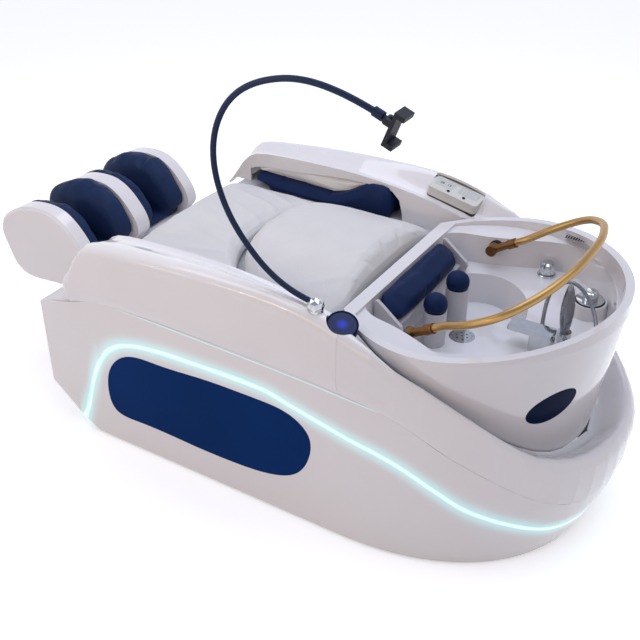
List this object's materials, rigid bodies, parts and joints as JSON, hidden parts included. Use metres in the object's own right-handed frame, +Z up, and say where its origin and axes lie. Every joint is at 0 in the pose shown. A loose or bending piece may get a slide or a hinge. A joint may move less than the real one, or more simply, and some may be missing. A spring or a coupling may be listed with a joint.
{
  "type": "hair washing bed",
  "caption": "Full-length salon hair washing bed with a padded body, hollow armrests, a sliding leg rest, a basin, a folding water bar, a hand shower and a phone holder.",
  "frame": {"origin": "centre of the whole object's box, on the floor", "axes": "+X to the head and basin end, +Y to the side with the control panel, +Z up"},
  "size_m": [2.0909, 0.9786, 1.3404],
  "materials": {
    "gloss_shell": "glossy white gelcoat on glass-fibre shells",
    "light_strip": "cyan light diffuser",
    "dark_window": "dark blue glossy panel",
    "basin_glaze": "white glazed ceramic",
    "white_leather": "matt white upholstery leather",
    "navy_leather": "navy upholstery leather",
    "frame_paint": "black powder coat on steel tube",
    "deck_board": "grey moulded board",
    "foot_rubber": "black rubber and steel feet",
    "bright_rod": "ground steel rod",
    "chrome": "polished chrome plate",
    "gold_brass": "brushed gold brass tube",
    "bronze": "aged bronze fittings",
    "black_plastic": "black moulded plastic",
    "pale_plastic": "pale moulded plastic",
    "panel_grey": "pale grey moulded bezel",
    "screen_glass": "grey display behind a clear lens",
    "keypad_film": "printed key film",
    "touch_glass": "navy touch glass",
    "flex_metal": "wound metal hose",
    "gooseneck": "navy sleeved flexible arm",
    "drain_pvc": "grey pipework",
    "pump_steel": "steel pump and heater shell",
    "tray_steel": "zinc-coated sheet"
  },
  "bodies": {
    "root": {"lower_shell": "gloss_shell", "led_strip": "light_strip", "upper_shell": "gloss_shell", "side_panels": "dark_window", "armrest_near": "gloss_shell", "armrest_far": "gloss_shell", "nose_collar": "gloss_shell", "basin": "basin_glaze", "portholes": "dark_window", "vent_grille": "pale_plastic", "seat_deck": "deck_board", "foot_ledge": "gloss_shell", "base_frame": "frame_paint", "levelling_feet": "foot_rubber", "equipment_tray": "tray_steel", "water_pump": "pump_steel", "water_heater": "pump_steel", "power_box": "black_plastic", "seat_cushion": "white_leather", "back_cushion": "white_leather", "arm_pads_lower": "navy_leather", "arm_pads_upper": "white_leather", "leg_rest_sleeves": "frame_paint", "cable_gland": "black_plastic", "drain_grate": "chrome", "drain_trap": "drain_pvc", "water_tails": "flex_metal", "neck_pillow": "navy_leather", "neck_bracket": "pale_plastic", "head_support_posts": "pale_plastic", "head_support_balls": "navy_leather", "rain_bar_bushes": "black_plastic", "mixer_gasket": "black_plastic", "mixer_plate": "chrome", "knob_flange": "chrome", "tap_column": "chrome", "tap_spout": "chrome", "hose_fittings": "chrome", "shower_hose": "flex_metal", "control_bezel": "panel_grey", "control_screen": "screen_glass", "control_keypad": "keypad_film", "touch_ring": "chrome", "touch_disc": "touch_glass", "gooseneck_socket": "chrome"},
    "leg_rest": {"leg_rest_shell": "gloss_shell", "leg_rest_pads": "navy_leather", "leg_rest_rods": "bright_rod"},
    "rain_bar": {"rain_bar_elbows": "bronze", "rain_bar_tube": "gold_brass"},
    "mixer_dome": {"mixer_dome": "chrome"},
    "mixer_lever": {"mixer_lever": "chrome"},
    "diverter_knob": {"diverter_knob": "chrome"},
    "hand_shower": {"hand_shower": "flex_metal"},
    "key_left": {"key_left": "black_plastic"},
    "key_right": {"key_right": "black_plastic"},
    "gooseneck": {"gooseneck_arm": "gooseneck"},
    "clamp_head": {"clamp_head": "black_plastic"},
    "clamp_jaw": {"clamp_jaw": "black_plastic"}
  },
  "joints": [
    {"name": "leg_rest_slide", "type": "slide", "parent": "root", "child": "leg_rest", "axis": [-1, 0, 0], "range_m": [0, 0.15]},
    {"name": "rain_bar_fold", "type": "hinge", "parent": "root", "child": "rain_bar", "pos_m": [0.486, 0, 0.622], "axis": [0, -1, 0], "range_deg": [-8, 110]},
    {"name": "mixer_turn", "type": "hinge", "parent": "root", "child": "mixer_dome", "pos_m": [0.831, 0.184, 0.61], "axis": [0, 0, 1], "range_deg": [-45, 45]},
    {"name": "mixer_lift", "type": "hinge", "parent": "mixer_dome", "child": "mixer_lever", "pos_m": [0.831, 0.184, 0.61852], "axis": [0.342, 0.9397, 0], "range_deg": [0, 24]},
    {"name": "diverter_turn", "type": "hinge", "parent": "root", "child": "diverter_knob", "pos_m": [0.65, 0.326, 0.585], "axis": [0, 0, 1], "range_deg": [-90, 90]},
    {"name": "hand_shower_lift", "type": "slide", "parent": "root", "child": "hand_shower", "axis": [0, 0, 1], "range_m": [0, 0.1]},
    {"name": "key_left_press", "type": "slide", "parent": "root", "child": "key_left", "axis": [-0.2036, 0.1045, -0.9735], "range_m": [0, 0.0012], "stiffness_N_per_m": 1500},
    {"name": "key_right_press", "type": "slide", "parent": "root", "child": "key_right", "axis": [-0.2036, 0.1045, -0.9735], "range_m": [0, 0.0012], "stiffness_N_per_m": 1500},
    {"name": "gooseneck_swivel", "type": "hinge", "parent": "root", "child": "gooseneck", "pos_m": [0.3, -0.45, 0.736], "axis": [0, 0, 1], "range_deg": [-40, 40]},
    {"name": "clamp_tilt", "type": "hinge", "parent": "gooseneck", "child": "clamp_head", "pos_m": [0.489, -0.45, 1.28227], "axis": [0, 1, 0], "range_deg": [-30, 30]},
    {"name": "clamp_jaw_slide", "type": "slide", "parent": "clamp_head", "child": "clamp_jaw", "axis": [-0.3675, 0, -0.93], "range_m": [0, 0.024]}
  ]
}
